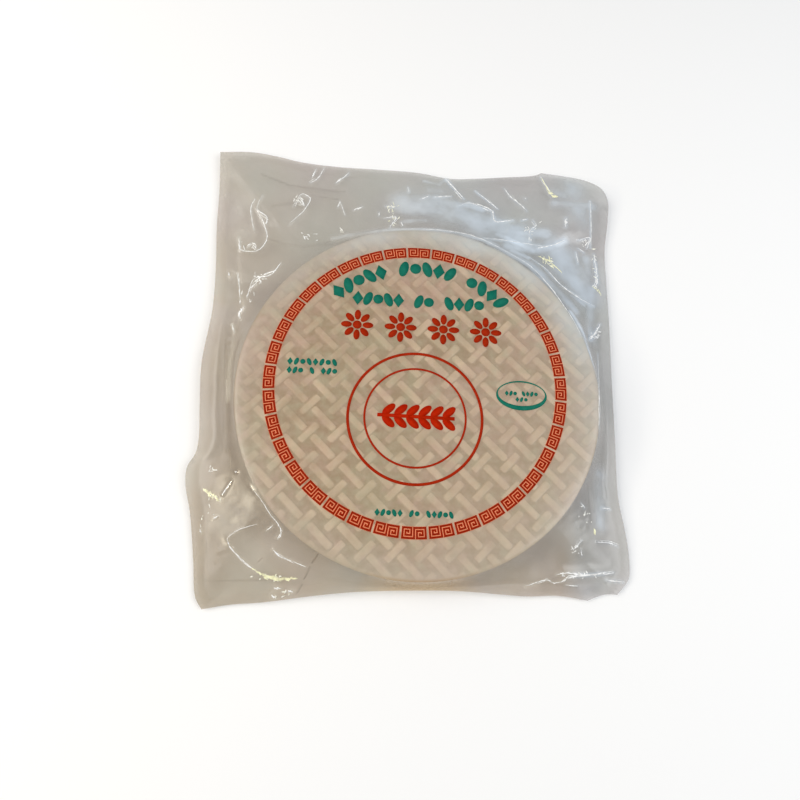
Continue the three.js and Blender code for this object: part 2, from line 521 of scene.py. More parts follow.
# %% Edge of the pouch
EDGE_RUNS = {
    "right_side": [
        (115.5, -117.6, 2.0), (123.6, -108.5, 1.8), (124.9, -95, 2.2), (123.6, -80, 3.2),
        (121.1, -62, 4.6), (122.4, -25, 6.0), (124.6, 14, 5.6), (127.4, 50, 4.2),
        (129.1, 82, 3.2), (130.6, 108, 3.0), (134.8, 131, 4.0), (135.7, 147, 5.5),
        (131.6, 155.5, 6.2), (121, 162.7, 4.8), (106, 166.9, 3.2), (90, 168, 4.2)],
    "back_side": [
        (90, 168, 4.2), (85, 166.6, 3.0), (64, 165.1, 1.8), (42, 163, 1.8),
        (24.5, 161.7, 2.4), (2, 165.2, 2.8), (-28, 167.3, 2.0), (-57, 168.5, 1.8),
        (-80, 170.9, 2.0), (-98, 174.6, 2.6), (-114, 176.6, 3.2), (-136, 175, 4.2)],
    "left_side": [
        (-136, 175, 4.2), (-134.4, 145, 2.8), (-133.9, 118, 2.6), (-131.6, 85, 3.2),
        (-131, 56, 4.0), (-134.2, 20, 4.6), (-132.8, -8, 4.6), (-131.5, -29, 4.4),
        (-132.8, -37.5, 4.0), (-136.8, -45, 3.6), (-136.9, -55, 3.2), (-132.8, -72, 2.4),
        (-128.6, -98, 1.9), (-125.6, -118, 1.8), (-121.6, -124.4, 1.8)],
    "front_side": [
        (-121.6, -124.4, 1.8), (-106, -122, 2.2), (-88, -120.8, 3.0), (-59, -117.3, 5.2),
        (-34, -115.2, 7.2), (-2, -114.6, 8.0), (22, -115, 7.2), (46, -117, 5.0),
        (62, -118.2, 3.6), (80, -118, 2.6), (97.6, -120.7, 2.2)],
    "front_nick": [
        (97.6, -120.7, 2.2), (104, -118.4, 1.9), (110, -117.2, 1.9), (115.5, -117.6, 2.0)],
}
WELD_WIDTH = 8.0
WELD_SHARE = 0.35
WELD_HALF = 0.15


def smooth_run(places, per_span=24):
    """Points on a centripetal Catmull-Rom curve through a run of places."""
    knots = np.array(places, dtype=float)
    knots = np.vstack([2 * knots[0] - knots[1], knots, 2 * knots[-1] - knots[-2]])
    pieces = []
    for before, start, end, after in zip(knots, knots[1:], knots[2:], knots[3:]):
        gaps = [max(np.linalg.norm(b - a), 1e-9) ** 0.5
                for a, b in ((before, start), (start, end), (end, after))]
        across = (end - start) / gaps[1]
        leave = (start - before) / gaps[0] - (end - before) / (gaps[0] + gaps[1]) + across
        arrive = across - (after - start) / (gaps[1] + gaps[2]) + (after - end) / gaps[2]
        leave, arrive = leave * gaps[1], arrive * gaps[1]
        t = np.linspace(0, 1, per_span, endpoint=False)[:, None]
        pieces.append((2 * t ** 3 - 3 * t ** 2 + 1) * start + (t ** 3 - 2 * t ** 2 + t) * leave
                      + (3 * t ** 2 - 2 * t ** 3) * end + (t ** 3 - t ** 2) * arrive)
    return np.vstack(pieces + [knots[-2:-1]])


def edge_columns(step):
    """The edge cut into columns a step apart, each running out from the middle of the stack."""
    stretches = []
    for places in EDGE_RUNS.values():
        curve = smooth_run(places)
        lengths = np.r_[0, np.cumsum(np.linalg.norm(np.diff(curve, axis=0), axis=1))]
        count = max(1, round(lengths[-1] / step))
        wanted = np.linspace(0, lengths[-1], count, endpoint=False)
        stretches.append(np.stack([np.interp(wanted, lengths, curve[:, k]) for k in range(3)], 1))
    x, y, height = np.vstack(stretches).T
    distance = np.hypot(x, y)
    margin = distance - STACK_RADIUS
    weld = np.minimum(WELD_WIDTH, margin * WELD_SHARE)
    return {"x": x / distance, "y": y / distance, "height": height, "margin": margin,
            "slope": margin - weld}


# %% [markdown]
# ## Creases
# Film shows its shape by its creases. The large folds are named lines on the pouch. The small
# sharp ones sit where the camera sees them, so each is a chain of places in its picture that is
# cast onto the pouch's solid. The rest are scattered by a seeded rule over the margins.

# %% Folds and creases
# Each fold's line is on the pouch, about the middle of the stack.
FOLDS = [
    {"line": [(-121, 48), (-116, 0), (-110, -30)], "height": 2.2, "half_width": 4},
    {"line": [(-62, 98), (-92, 128), (-124, 166)], "height": 1.0, "half_width": 9},
    {"line": [(-30, 116), (-40, 140), (-52, 160)], "height": 1.6, "half_width": 6},
    {"line": [(24, 116), (28, 140), (40, 156)], "height": 1.8, "half_width": 6},
    {"line": [(46, 106), (84, 112), (112, 122)], "height": 2.6, "half_width": 6},
    {"line": [(98, 66), (112, 78), (124, 100)], "height": 1.8, "half_width": 5},
    {"line": [(113, 40), (115, 0), (116, -60)], "height": 1.8, "half_width": 3},
    {"line": [(84, -76), (100, -92), (114, -108)], "height": 1.2, "half_width": 8},
    {"line": [(54, -104), (82, -107), (112, -102)], "height": 1.6, "half_width": 4},
    {"line": [(-92, -68), (-106, -84), (-120, -112)], "height": 1.0, "half_width": 9},
    {"line": [(-104, -76), (-86, -100), (-62, -108)], "height": 1.0, "half_width": 7},
]

# Each crease, drawn with a painted highlight: its chain of places in the camera's picture and its
# width in millimetres.
HIGHLIGHT_CREASES = {
    "rim": [([(384, 230), (420, 229), (440, 230), (462, 233), (484, 240), (511, 254)], 0.5),
            ([(511, 254), (529, 265), (546, 282), (562, 303), (575, 323), (581, 336)], 0.6),
            ([(484, 238), (503, 240), (529, 244), (548, 247)], 0.5)],
    "back_streaks": [([(316, 169), (312, 178)], 0.9), ([(324, 168), (318, 178), (310, 183)], 0.8),
                     ([(349, 173), (336, 183)], 1.4), ([(408, 187), (409, 192)], 1.0)],
    "back_left_hook": [([(263, 194), (258, 204), (257, 209), (263, 221), (266, 230), (267, 238),
                         (263, 246), (256, 251), (246, 251), (239, 249)], 0.7),
                       ([(257, 209), (267, 218), (266, 224)], 1.3),
                       ([(255, 199), (251, 207), (252, 220), (254, 230)], 0.6),
                       ([(239, 238), (240, 250)], 1.4), ([(247, 248), (254, 243), (256, 249)], 0.8)],
    "back_star": [([(293, 206), (302, 194), (310, 198), (305, 209), (290, 223)], 0.8),
                  ([(298, 200), (304, 205), (300, 196)], 0.9), ([(340, 201), (338, 207)], 0.8),
                  ([(340, 201), (345, 215)], 0.7), ([(354, 210), (362, 207)], 1.5)],
    "back_middle": [([(379, 212), (379, 216)], 0.9), ([(386, 206), (394, 207)], 0.9),
                    ([(384, 218), (396, 217), (390, 227)], 0.9), ([(401, 222), (403, 226)], 1.0),
                    ([(421, 199), (429, 196)], 1.0), ([(434, 197), (452, 196)], 0.9),
                    ([(446, 179), (455, 189), (464, 199)], 1.2)],
    "left_diagonal": [([(281, 263), (270, 275), (254, 279), (247, 298)], 1.0),
                      ([(276, 270), (262, 276), (252, 284)], 1.2), ([(256, 283), (248, 290)], 0.8),
                      ([(229, 272), (229, 276)], 0.9), ([(237, 273), (239, 285), (240, 299)], 0.7),
                      ([(244, 307), (239, 314), (240, 319)], 2.0), ([(232, 324), (234, 332)], 0.9)],
    "back_right": [([(475, 191), (487, 200), (498, 209)], 0.7),
                   ([(504, 188), (510, 196), (521, 205), (527, 211)], 0.9),
                   ([(541, 177), (547, 187), (551, 194)], 0.9),
                   ([(458, 206), (469, 203), (492, 211), (495, 221), (513, 220)], 1.1),
                   ([(522, 220), (527, 219)], 0.9),
                   ([(533, 220), (536, 225), (530, 231), (529, 242)], 0.8),
                   ([(566, 218), (565.5, 227)], 2.2), ([(525, 198), (526, 199)], 1.2),
                   ([(538, 248), (553, 245), (565, 240)], 0.9)],
    "right_side": [([(578, 240), (590, 238), (587, 248)], 0.8), ([(578, 248), (584, 252)], 0.8),
                   ([(576, 252), (578, 263)], 0.7),
                   ([(594, 254), (596, 269), (597, 282), (594, 288)], 1.8),
                   ([(529, 257), (545, 268), (561, 285), (579, 298), (594, 306)], 0.7),
                   ([(589, 340), (596, 332), (600, 324)], 1.5), ([(591, 338), (598, 336)], 0.9),
                   ([(590, 201), (591, 225), (591, 248)], 0.6),
                   ([(598, 353), (599, 390), (599, 430)], 0.6)],
    "front_left": [([(250, 486), (259, 497), (270, 514), (278, 524), (281, 530), (280, 537),
                     (277, 538)], 0.8),
                   ([(227, 538), (229, 545), (236, 554), (247, 564), (256, 571)], 0.8),
                   ([(227, 538), (238, 530), (257, 524)], 0.5), ([(266, 531), (273, 525)], 0.7),
                   ([(273, 550), (281, 557), (292, 561)], 0.9), ([(292, 561), (306, 567)], 0.5),
                   ([(222, 495), (231, 481)], 0.9),
                   ([(213, 519), (218, 516)], 0.9), ([(200, 529), (201, 533)], 0.9),
                   ([(274, 588), (281, 589)], 1.8), ([(271, 595), (275, 598)], 1.6),
                   ([(288, 591), (293, 592)], 1.6), ([(234.5, 471.5), (237, 472)], 0.9)],
    "front_right": [([(556, 575), (564, 573), (584, 575), (614, 573)], 1.3),
                    ([(561, 582), (568, 578), (584, 575)], 1.1), ([(606, 580), (623, 582)], 0.8),
                    ([(525, 586), (538, 582), (548, 580), (553, 583), (561, 582)], 0.8),
                    ([(565, 585), (578, 586)], 0.6), ([(581, 503), (585, 508)], 0.8),
                    ([(602, 508), (610, 509)], 0.9),
                    ([(574, 549), (582, 541)], 0.7), ([(581, 550), (582, 556)], 0.7),
                    ([(597, 542), (610, 543), (617, 546)], 0.8)],
}

# These ones are painted pale yellow, as the warm lamp's highlights.
YELLOW_HIGHLIGHT_CREASES = {
    "back_right_yellow": [([(541, 177), (547, 188), (551, 194)], 1.0),
                          ([(546, 190), (553, 196), (558, 197)], 2.6),
                          ([(538, 256), (547, 260), (553, 262)], 2.0),
                          ([(550, 263), (557, 268), (562, 273)], 1.2),
                          ([(546, 262), (553, 268)], 0.8), ([(592, 286), (597, 290), (601, 296)], 1.2)],
    "left_yellow": [([(203, 489), (208, 492), (214, 496), (220, 502)], 2.6),
                    ([(206, 491), (213, 499)], 1.6)],
    "front_left_yellow": [([(252, 568), (260, 573), (270, 578), (281, 581)], 1.8),
                          ([(268, 577), (280, 579), (298, 579)], 2.8), ([(262, 575), (268, 580)], 1.0)],
    "front_right_yellow": [([(594, 528), (595, 535)], 2.2)],
}

# %% [markdown]
# ## Crumpled places, painted sheen and shade, and smooth places
# Where the film is crumpled, many tiny painted glints lie close together. Soft bands of painted
# sheen and painted shade lie over the margins, paler or darker than the rest, and a few slopes are
# drawn quite smooth.

# %% Glints, painted sheen and shade, and smooth places
# Each crumpled place: its middle in the picture, its reach across and down, how many painted glints
# it has and how yellow they are.
GLINTS = {
    "back_left_star": ((302, 200), (8, 6), 13, 0.2), "back_middle_upper": ((391, 208), (6, 4), 9, 0.8),
    "back_middle_lower": ((394, 220), (4, 7), 8, 0.8), "left_cluster": ((260, 278), (7, 6), 13, 0.1),
    "left_dashes": ((247, 298), (6, 5), 6, 0.1), "hook_corner": ((250, 246), (7, 4), 8, 0.1),
    "rim_glints": ((305, 236), (20, 5), 9, 0.0), "rim_glint_right": ((341, 231), (2, 4), 4, 0.3),
    "back_right_dashes": ((528, 229), (10, 11), 9, 0.1), "yellow_star": ((548, 262), (11, 5), 14, 1.0),
    "right_corner": ((586, 244), (6, 5), 7, 0.1), "right_string": ((595, 268), (2, 20), 10, 0.4),
    "right_pinch": ((597, 335), (5, 5), 7, 0.0), "front_right_upper": ((585, 512), (9, 12), 7, 0.2),
    "front_right_string": ((575, 549), (10, 7), 9, 0.1),
    "front_right_band": ((580, 576), (30, 4), 13, 0.1),
    "front_left_band": ((272, 577), (18, 5), 12, 0.7), "front_left_low": ((283, 591), (11, 5), 9, 0.5),
    "left_point": ((212, 497), (7, 4), 7, 0.8), "left_low": ((207, 520), (6, 16), 6, 0.4),
    "left_sparks": ((211, 469), (5, 6), 6, 0.2),
}

# Each band of painted sheen: its chain of places, its half width in millimetres and how pale it
# is; a negative one is a band of painted shade.
PAINTED_SHEEN_AND_SHADE = {
    "left_fold": [([(232, 324), (234, 332), (233, 346), (229, 369), (228, 403), (226, 438)], 1.6, 0.3),
                  ([(226, 380), (227, 403)], 0.5, 0.45), ([(230, 449), (230, 467)], 0.5, 0.45),
                  ([(239, 340), (235, 352), (233, 364), (231.5, 401), (229, 420), (227, 440), (226, 452)],
                   1.1, -0.42),
                  ([(225, 345), (224, 400), (222, 450)], 0.6, -0.3),
                  ([(229, 405), (229, 440), (235, 464), (246, 486), (257, 506)], 4.5, -0.48),
                  ([(232, 468), (238, 498), (248, 522)], 9.0, -0.42)],
    "left_side": [([(238, 252), (243, 305)], 1.5, 0.25), ([(236, 285), (258, 292)], 6.0, -0.22),
                  ([(222, 420), (222, 440)], 5.0, -0.12), ([(214, 468), (212, 482)], 6.0, -0.22)],
    "back_left": [([(235, 165), (240, 235)], 14.0, 0.27),
                  ([(262, 174), (290, 185), (345, 191)], 0.9, -0.35),
                  ([(312, 195), (338, 199)], 0.7, -0.3), ([(273, 204), (291, 203)], 1.6, -0.25),
                  ([(300, 222), (304, 230)], 8.0, -0.12)],
    "back_rim": [([(333, 238), (384, 230), (440, 230), (484, 240), (520, 258)], 2.4, 0.42),
                 ([(304, 246), (333, 244), (360, 240)], 2.0, -0.25),
                 ([(268, 238), (285, 244), (309, 246), (336, 240), (353, 234), (384, 228)], 1.0, -0.25),
                 ([(485, 244), (511, 258), (537, 274), (560, 299), (575, 322)], 0.8, -0.35)],
    "back_right": [([(458, 204), (470, 206), (482, 210)], 3.5, 0.5),
                   ([(424, 181), (438, 185), (446, 179), (464, 199)], 1.5, 0.3),
                   ([(458, 207), (469, 202), (492, 211), (495, 222), (513, 220)], 2.0, 0.35),
                   ([(475, 191), (487, 200), (498, 209)], 1.6, 0.2),
                   ([(408, 204), (440, 208), (470, 220), (520, 236)], 14.0, 0.64),
                   ([(405, 221), (425, 220)], 3.0, 0.5), ([(430, 190), (450, 191)], 5.0, 0.3),
                   ([(556, 192), (566, 196)], 5.0, 0.35), ([(556, 203), (593, 206)], 4.5, 0.4),
                   ([(572, 188), (582, 222)], 9.0, 0.36)],
    "back_right_sheen": [([(498, 234), (512, 240), (533, 250)], 3.6, 0.85),
                         ([(512, 250), (528, 257)], 2.4, 0.7),
                         ([(519, 233), (544, 233)], 6.0, 0.75), ([(512, 240), (545, 248)], 8.0, 0.4),
                         ([(507, 246), (538, 250), (553, 247), (565, 240)], 4.5, 0.65),
                         ([(490, 243), (509, 253), (531, 265), (555, 288), (575, 310)], 4.5, 0.48),
                         ([(556, 252), (585, 288)], 15.0, 0.55), ([(571, 295), (585, 305)], 2.0, 0.4)],
    "right_side": [([(571, 312), (584, 334), (591, 360), (593, 378)], 2.3, 0.75),
                   ([(590, 200), (590, 248)], 1.0, 0.3),
                   ([(586, 258), (590, 300), (592, 338)], 4.5, 0.42),
                   ([(595, 262), (598, 285)], 1.8, 0.4),
                   ([(601, 215), (603, 255)], 6.0, -0.2), ([(596, 205), (608, 209)], 4.0, -0.2),
                   ([(600, 475), (601, 525)], 5.0, 0.42), ([(588, 485), (591, 520)], 1.2, -0.3)],
    "front_right": [([(574, 575), (584, 576), (604, 574)], 1.7, 0.3),
                    ([(588, 590), (600, 583)], 4.0, 0.15), ([(545, 588), (596, 589)], 5.0, -0.26),
                    ([(566, 562), (598, 548), (606, 562)], 8.0, -0.3)],
    "front_left": [([(203, 489), (208, 492), (220, 502)], 1.6, 0.5),
                   ([(213, 519), (205, 545), (203, 560)], 3.0, 0.12),
                   ([(290, 578), (335, 581), (385, 583)], 4.0, 0.07),
                   ([(222, 500), (230, 525), (219, 545), (214, 575)], 9.0, -0.24),
                   ([(215, 535), (217, 548)], 5.5, -0.38), ([(206, 540), (206, 581)], 0.6, -0.3),
                   ([(206, 581), (267, 580)], 0.6, -0.3)],
    "front_left_lines": [([(318, 554), (312, 563)], 0.4, -0.8), ([(310, 567), (304, 579)], 0.4, -0.6),
                         ([(302, 584), (296, 594)], 0.4, -0.7), ([(258, 562), (262, 558)], 0.5, -0.5)],
}

# Smooth places with no small crease: the middle in the picture and the reach in millimetres.
CALM_PLACES = {"front_left_slope": ((238, 500), 21), "front_left_low": ((268, 548), 7),
               "left_slope": ((234, 464), 13), "front_right_corner": ((590, 554), 17)}


def on_pouch(places):
    """Places in the picture as points on the pouch, in mm about the middle of the stack."""
    return np.array([seen_on(pouch_solid, *place)[:2] for place in places]) - STACK_MIDDLE


named_creases = [(on_pouch(places), width)
                 for group in HIGHLIGHT_CREASES.values() for places, width in group]
painted_sheen_and_shade = [(on_pouch(places), half_width, paleness)
              for group in PAINTED_SHEEN_AND_SHADE.values() for places, half_width, paleness in group]
calm_spots = [(on_pouch([place])[0], reach) for place, reach in CALM_PLACES.values()]
print(len(named_creases), "named creases and", len(painted_sheen_and_shade), "soft marks")

# %% [markdown]
# ## Distances and small creases
# Every fold, crease and mark fades with the distance from its line, so one function that
# measures this distance serves them all. The small creases mostly run out from the stack, as
# film does that is drawn tight over a round rim.

# %% Distance from a line, and scattered creases
SMALL_CREASES = 260
SMALL_CREASE_STEP = 2.0


def away_from_line(x, y, line):
    """Each point's distance from a chain of points."""
    nearest = np.full(x.shape, 1e9)
    for start, end in zip(line, line[1:]):
        along = np.subtract(end, start)
        share = ((x - start[0]) * along[0] + (y - start[1]) * along[1]) / max(along @ along, 1e-9)
        share = np.clip(share, 0, 1)
        away = np.hypot(x - start[0] - share * along[0], y - start[1] - share * along[1])
        nearest = np.minimum(nearest, away)
    return nearest


def near_line(x, y, line, half_width):
    """1 on a chain of points, fading over its half width."""
    return np.exp(-(away_from_line(x, y, line) / half_width) ** 2)


def calm_share(x, y):
    """0 in the middle of a smooth place and 1 away from all of them."""
    share = np.ones_like(x)
    for (spot_x, spot_y), reach in calm_spots:
        share = np.minimum(share, np.clip(np.hypot(x - spot_x, y - spot_y) / reach, 0, 1) ** 2)
    return share


def scattered_creases(columns, count, seed):
    """Short straight creases over the margins, but not in the smooth places."""
    random = np.random.default_rng(seed)
    weights = np.clip(columns["slope"] - 4, 0, 60)
    picks = random.choice(len(weights), count, p=weights / weights.sum())
    creases = []
    for pick in picks:
        radius = STACK_RADIUS + columns["slope"][pick] * random.uniform(0.12, 0.92)
        middle = radius * np.array([columns["x"][pick], columns["y"][pick]])
        outward = math.atan2(columns["y"][pick], columns["x"][pick])
        heading = outward + random.normal(0, 0.9)
        half = random.uniform(2, 9) * np.array([math.cos(heading), math.sin(heading)])
        rise = random.uniform(-0.22, 0.25)
        if all(np.hypot(*(middle - spot)) > reach for spot, reach in calm_spots):
            creases.append((np.array([middle - half, middle + half]), rise))
    return creases


small_creases = scattered_creases(edge_columns(SMALL_CREASE_STEP), SMALL_CREASES, 21)
print(len(small_creases), "small creases")

# %% [markdown]
# ## The upper film
# The film lies flat over the stack, bends over its rim, falls in a hollow slope to the margin
# and ends in the weld. A flat grid is wrapped onto that shape: one direction of the grid goes
# round the pouch and the other runs from the weld in to the middle, where it closes in a point.

# %% Height of the upper film
FILM_TOP = STACK_HEIGHT + 0.6
RIM_BEND = 2.0
RIM_DROP = 0.5
SLOPE_REACH = 46.0
SLOPE_BEND = 1.7
PUFF = 1.4
LIFT_REACH = 18.0
CREASE_HEIGHT = 0.4
CREASE_REACH = 1.2
SMALL_CREASE_REACH = 0.9
WIDEST_CREASE = 1.4


def film_sag(x, y):
    """The slight unevenness of the film where it lies on the stack."""
    return 0.035 * slow_waves(x, y, 11, 46) - 0.05


def fine_height(x, y):
    """Low waves over the film, and how strongly a crease runs through each point."""
    rough = 0.25 + 0.75 * calm_share(x, y)
    height = rough * (0.22 * slow_waves(x, y, 21, 17) + 0.07 * slow_waves(x, y, 22, 6.5))
    sharp = np.zeros_like(x)
    for line, width in named_creases:
        fold_line = near_line(x, y, line, CREASE_REACH)
        height += CREASE_HEIGHT * min(width, WIDEST_CREASE) * fold_line
        sharp = np.maximum(sharp, fold_line)
    for line, rise in small_creases:
        fold_line = near_line(x, y, line, SMALL_CREASE_REACH)
        height += rise * fold_line
        sharp = np.maximum(sharp, 0.35 * fold_line)
    return height, sharp


def fold_height(x, y):
    lift = np.zeros_like(x)
    for fold in FOLDS:
        near = near_line(x, y, fold["line"], fold["half_width"])
        lift = np.maximum(lift, fold["height"] * near)
    return lift


# %% [markdown]
# ## Wrapping a grid onto the pouch
# Both films are the same kind of grid, with a column for each place on the edge, some rows from
# the edge in to the rim and a few more over the stack. Marks and tints are kept on its points.

# %% A grid round the pouch and the upper film
COLUMN_STEP = 0.95
WELD_ROWS = 4
SLOPE_ROWS = 54
STACK_SHARES = (0.985, 0.95, 0.88, 0.76, 0.6, 0.42, 0.22, 0.0)


def wrapped_grid(name, columns, outer_rows, stack_shares):
    """A grid, its points' columns and rows, which are on the stack and their shares of it."""
    rows = outer_rows + len(stack_shares)
    grid = add_grid(name, len(columns["x"]), rows)
    points = read_points(grid)
    column = np.rint((points[:, 0] + 1) / 2 * len(columns["x"])).astype(int) % len(columns["x"])
    row = np.rint((points[:, 1] + 1) / 2 * rows).astype(int)
    share = np.array(stack_shares)[np.clip(row - outer_rows - 1, 0, len(stack_shares) - 1)]
    return grid, column, row, row > outer_rows, share


def spread_out(columns, column, on_stack, share, out):
    """Each point's distance from the middle of the stack, and where that puts it."""
    radius = np.where(on_stack, share * STACK_RADIUS, STACK_RADIUS + out)
    return radius, radius * columns["x"][column], radius * columns["y"][column]


def narrowness(margin):
    """1 where the margin is narrow, and so looks brown, and 0 where it is wide."""
    return np.clip(1.3 - margin / 9, 0, 1)


def store_tints(film, x, y, margin, on_stack):
    """Keeps where the film looks brown and its share of painted cool light tint."""
    store(film, "narrow", narrowness(margin) * ~on_stack)
    store(film, "cool", np.maximum(warm_to_cool(x, y), np.clip((x - 82) / 16, 0, 0.85)))


def store_painted_light(film, x, y, from_edge, margin, on_stack):
    """Keeps painted crease highlights, painted sheen and shade, and darkens a band near the edge."""
    crease_highlight, pale, dark = np.zeros_like(x), np.zeros_like(x), np.zeros_like(x)
    for line, width in named_creases:
        crease_highlight = np.maximum(crease_highlight, near_line(x, y, line, 0.6 + width / 2))
    for line, half_width, paleness in painted_sheen_and_shade:
        painted = abs(paleness) * near_line(x, y, line, half_width)
        if paleness > 0:
            pale = np.maximum(pale, painted)
        else:
            dark = np.maximum(dark, painted)
    # A band near the edge is darker, most at the right and the front.
    near_edge = np.clip(1 - from_edge / 16, 0, 1) * np.clip(margin / 20, 0, 1)
    near_edge *= np.clip(0.75 + x / 300 - y / 250, 0, 1)
    store(film, "crease_highlight", crease_highlight)
    store(film, "pale", pale * ~on_stack)
    store(film, "dark", np.maximum(dark, 0.14 * near_edge) * ~on_stack)


def upper_film():
    columns = edge_columns(COLUMN_STEP)
    film, column, row, on_stack, share = wrapped_grid("upper_film", columns,
                                                      WELD_ROWS + SLOPE_ROWS, STACK_SHARES)
    margin, slope = columns["margin"][column], columns["slope"][column]
    weld_share = np.clip(row / WELD_ROWS, 0, 1)
    slope_share = np.clip((row - WELD_ROWS) / SLOPE_ROWS, 0, 1)
    out = (margin + (slope - margin) * weld_share) * (1 - slope_share)
    radius, x, y = spread_out(columns, column, on_stack, share, out)

    base = columns["height"][column] + WELD_HALF
    shoulder = FILM_TOP - RIM_DROP
    fall = np.clip(1 - out / np.minimum(slope, SLOPE_REACH), 0, 1) ** SLOPE_BEND
    arch = np.sin(np.pi * np.clip(out / slope, 0, 1))
    z = base + (shoulder - base) * fall + PUFF * arch * np.clip(slope / SLOPE_REACH, 0, 1)
    room = np.sqrt(np.clip(arch, 0, 1)) * np.clip(slope / LIFT_REACH, 0, 1)
    z += fold_height(x, y) * room * (1 - fall)
    fine, sharp = fine_height(x, y)
    z += fine * room
    bend = np.clip((radius - STACK_RADIUS + RIM_BEND) / RIM_BEND, 0, 1)
    z = np.where(on_stack, FILM_TOP - RIM_DROP * bend ** 2 + film_sag(x, y) * (1 - bend), z)

    place_points(film, x + STACK_MIDDLE[0], y + STACK_MIDDLE[1], z)
    store(film, "sharp", sharp * room)
    store_painted_light(film, x, y, margin - out, margin, on_stack)
    weld = np.clip((out - slope) / 1.5 + 0.5, 0, 1)
    store(film, "haze", np.where(on_stack, 0.3, 1 + 0.6 * weld + 0.45 * narrowness(margin)))
    store_tints(film, x, y, margin, on_stack)
    in_edit_mode(film, MERGE, FACE_OUT)
    return film


film_above = upper_film()

# %% [markdown]
# ## The lower film
# The lower film lies on the table under the stack and lifts to the weld near the edge. It is the
# same wrapped grid with a simpler height, and its haze is thinner where the margin is narrow.

# %% Lower film
LOWER_STEP = 1.9
LOWER_ROWS = 30
LOWER_SHARES = (0.9, 0.7, 0.45, 0.2, 0.0)


def lower_film():
    columns = edge_columns(LOWER_STEP)
    film, column, row, on_stack, share = wrapped_grid("lower_film", columns, LOWER_ROWS, LOWER_SHARES)
    margin = columns["margin"][column]
    out = margin * (1 - np.clip(row / LOWER_ROWS, 0, 1))
    _, x, y = spread_out(columns, column, on_stack, share, out)
    lift = np.minimum(LIFT_REACH, margin)
    rise = np.clip(1 - (margin - out) / lift, 0, 1) ** 2
    z = (columns["height"][column] + WELD_HALF) * rise * ~on_stack
    uneven = np.clip(0.25 + 0.3 * slow_waves(x, y, 31, 15), 0, 1)
    z += uneven * np.sin(np.pi * np.clip(out / margin, 0, 1)) * ~on_stack
    place_points(film, x + STACK_MIDDLE[0], y + STACK_MIDDLE[1], z)
    store(film, "haze", np.where(on_stack, 0.3, np.clip(margin / 8 - 0.3, 0.15, 1)))
    store_tints(film, x, y, margin, on_stack)
    in_edit_mode(film, MERGE, FACE_OUT)
    return film


def turn_faces(film, up):
    normals = np.empty(len(film.data.polygons) * 3)
    film.data.polygons.foreach_get("normal", normals)
    if (normals.reshape(-1, 3)[:, 2].mean() > 0) != up:
        in_edit_mode(film, FLIP)


film_below = lower_film()
turn_faces(film_below, up=False)
turn_faces(film_above, up=True)

# %% [markdown]
# ## The film's finish
# Clear film is mostly a hole in the picture: what lies behind it shows through. Three things make
# it visible: a thin grey haze, which is stronger where two layers are welded, a painted highlight
# along each crease, and the mirror of the lamps, which grows at grazing angles. Soft bands of
# painted sheen, broken up by a gentle noise, and of painted shade lie over the margins; the haze
# and the highlights take a painted warm and cool light tint, and a narrow margin looks brown.

# %% Clear film
PAINTED_LIGHT_COVER = 0.6
PAINTED_LIGHT_TINT = 2.0
CREASE_HIGHLIGHT_COVER = 0.12
STRAIGHT_ON_SHINE = 0.035


def film_colour(f, crease_highlight, pale, dark, warm, cool):
    """The haze's colour, with painted light tints, painted crease highlights, sheen and shade."""
    coolness = f.attribute("cool")
    colour = f.blend(coolness, warm, cool)
    colour = f.blend(f.attribute("narrow"), colour, (0.80, 0.61, 0.37))
    tint = f.noise(17, 2, 0.5)
    colour = f.blend(f.spread(tint, 0.5, 0.68, 0.0, 0.35), colour, (0.585, 0.49, 0.49))
    colour = f.blend(f.spread(tint, 0.5, 0.32, 0.0, 0.3), colour, (0.51, 0.55, 0.46))
    highlight_colour = f.blend(coolness, (0.82, 0.76, 0.62), (0.73, 0.83, 0.94))
    colour = f.blend(f.plus(crease_highlight, f.times(pale, PAINTED_LIGHT_TINT), clamp=True), colour, highlight_colour)
    shade = f.blend(coolness, (0.21, 0.155, 0.10), (0.15, 0.15, 0.15))
    return f.blend(f.times(dark, PAINTED_LIGHT_TINT, clamp=True), colour, shade)


